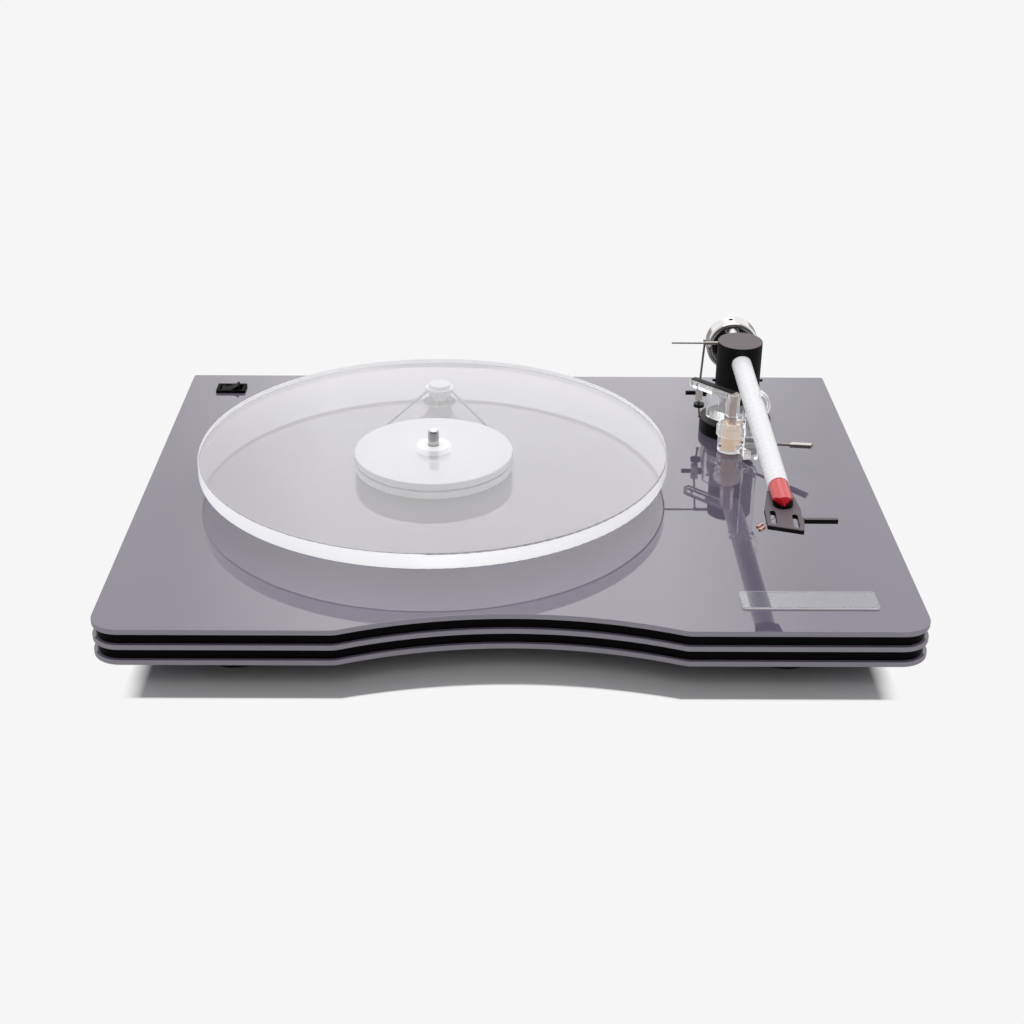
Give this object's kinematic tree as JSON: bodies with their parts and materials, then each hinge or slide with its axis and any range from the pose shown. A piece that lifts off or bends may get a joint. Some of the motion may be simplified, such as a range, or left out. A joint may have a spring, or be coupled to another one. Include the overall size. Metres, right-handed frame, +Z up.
{
  "type": "turntable",
  "caption": "Belt-drive turntable with a layered plinth, a clear platter on a white sub-platter and a unipivot arm with lift, rest and bias lever.",
  "frame": {"origin": "on the floor under the middle of the plinth", "axes": "+Z up along the record spindle, +Y to the back, +X to the side that the arm is on"},
  "size_m": [0.4664, 0.3706, 0.099],
  "materials": {
    "plate_grey": "mirror gloss",
    "core_black": "gloss",
    "dark_screw": "black oxide",
    "rubber_black": "matte",
    "bearing_alloy": "turned",
    "steel": "polished",
    "white_gloss": "gloss",
    "pulley_white": "gloss",
    "platter_clear": "polished clear",
    "belt_grey": "satin",
    "motor_metal": "plated",
    "stator_iron": "laminated",
    "switch_black": "satin",
    "rocker_black": "semi gloss",
    "board_green": "satin",
    "name_plate_clear": "polished clear",
    "brass": "turned",
    "plunger_brass": "polished",
    "base_black": "satin anodised",
    "pillar_black": "satin anodised",
    "cup_black": "satin anodised",
    "jewel_red": "polished",
    "tube_white": "gloss",
    "cap_red": "semi gloss",
    "nose_black": "semi gloss",
    "shell_grey": "satin anodised",
    "lead_white": "satin",
    "clip_copper": "plated",
    "weight_polished": "polished",
    "insert_black": "satin",
    "wire_steel": "polished",
    "bias_alloy": "satin",
    "axle_black": "black oxide",
    "clear_part": "polished clear",
    "pad_black": "matte",
    "lever_steel": "polished"
  },
  "bodies": {
    "plinth": {"top_plate": "plate_grey", "upper_core": "core_black", "middle_plate": "plate_grey", "lower_core": "core_black", "bottom_plate": "plate_grey", "plinth_screws": "dark_screw", "feet": "rubber_black", "foot_screws": "dark_screw", "bearing_housing": "bearing_alloy", "underside_nuts": "bearing_alloy", "drive_belt": "belt_grey", "motor_can": "motor_metal", "motor_plate": "motor_metal", "motor_screws": "dark_screw", "motor_stator": "stator_iron", "switch_housing": "switch_black", "control_board": "board_green", "name_plate": "name_plate_clear", "socket_block": "switch_black", "rear_terminals": "brass", "power_inlet": "switch_black", "arm_base": "base_black", "arm_pillar": "pillar_black", "pivot_spike": "steel", "bias_axle": "axle_black", "lift_bracket": "clear_part", "lift_cylinder": "clear_part", "lift_sleeve": "brass", "arm_rest": "clear_part"},
    "turning_platter": {"platter": "platter_clear", "sub_platter": "white_gloss", "spindle_shaft": "steel", "thrust_ball": "steel"},
    "motor_drive": {"motor_pulley": "pulley_white", "motor_shaft": "steel", "motor_rotor": "stator_iron"},
    "rocker": {"switch_rocker": "rocker_black"},
    "arm_swivel": {"pivot_jewel": "jewel_red"},
    "arm": {"jewel_holder": "steel", "bearing_cup": "cup_black", "balance_screws": "dark_screw", "arm_tube": "tube_white", "arm_cap": "cap_red", "cap_nose": "nose_black", "headshell": "shell_grey", "finger_lift": "shell_grey", "cartridge_leads": "lead_white", "lead_clips": "clip_copper", "rear_stub": "steel", "side_wire": "wire_steel"},
    "weight": {"counterweight": "weight_polished", "weight_insert": "insert_black", "weight_screw": "dark_screw"},
    "bias_lever": {"bias_block": "bias_alloy", "bias_rods": "wire_steel", "bias_weight": "dark_screw"},
    "lift_riser": {"lift_plunger": "plunger_brass", "lift_platform": "clear_part", "lift_pad": "pad_black"},
    "lever": {"lift_lever": "lever_steel"}
  },
  "joints": [
    {"name": "platter_spin", "type": "hinge", "parent": "plinth", "child": "turning_platter", "pos_m": [-0.0493, 0.0094, 0.0338], "axis": [0, 0, 1], "continuous": true},
    {"name": "motor_spin", "type": "hinge", "parent": "plinth", "child": "motor_drive", "pos_m": [-0.0493, 0.1225, 0.0338], "axis": [0, 0, 1], "continuous": true},
    {"name": "switch_rock", "type": "hinge", "parent": "plinth", "child": "rocker", "pos_m": [-0.2018, 0.1574, 0.0332], "axis": [0, 1, 0], "range_deg": [0, 26]},
    {"name": "arm_yaw", "type": "hinge", "parent": "plinth", "child": "arm_swivel", "pos_m": [0.1559, 0.091, 0.0871], "axis": [0, 0, -1], "range_deg": [0, 58]},
    {"name": "arm_pitch", "type": "hinge", "parent": "arm_swivel", "child": "arm", "pos_m": [0.1559, 0.091, 0.0871], "axis": [-1, 0.0061, 0], "range_deg": [0, 1.3]},
    {"name": "weight_slide", "type": "slide", "parent": "arm", "child": "weight", "axis": [0.0061, 0.9996, 0.0272], "range_m": [-0.008, 0.003]},
    {"name": "bias_swing", "type": "hinge", "parent": "plinth", "child": "bias_lever", "pos_m": [0.1291, 0.084, 0.0633], "axis": [-1, 0, 0], "range_deg": [0, 43]},
    {"name": "lift_lever_turn", "type": "hinge", "parent": "plinth", "child": "lever", "pos_m": [0.14484, 0.05343, 0.0405], "axis": [-0.5209, -0.8536, 0], "range_deg": [0, 28]},
    {"name": "lift_rise", "type": "slide", "parent": "plinth", "child": "lift_riser", "axis": [0, 0, 1], "range_m": [0, 0.0028]}
  ],
  "couplings": [
    {"joint": "motor_spin", "follows": "platter_spin", "ratio": 7.5},
    {"joint": "bias_swing", "follows": "arm_yaw", "ratio": 0.735},
    {"joint": "arm_pitch", "follows": "lift_lever_turn", "ratio": 0.046329},
    {"joint": "lift_rise", "follows": "lift_lever_turn", "m_per_rad": 0.005729}
  ]
}
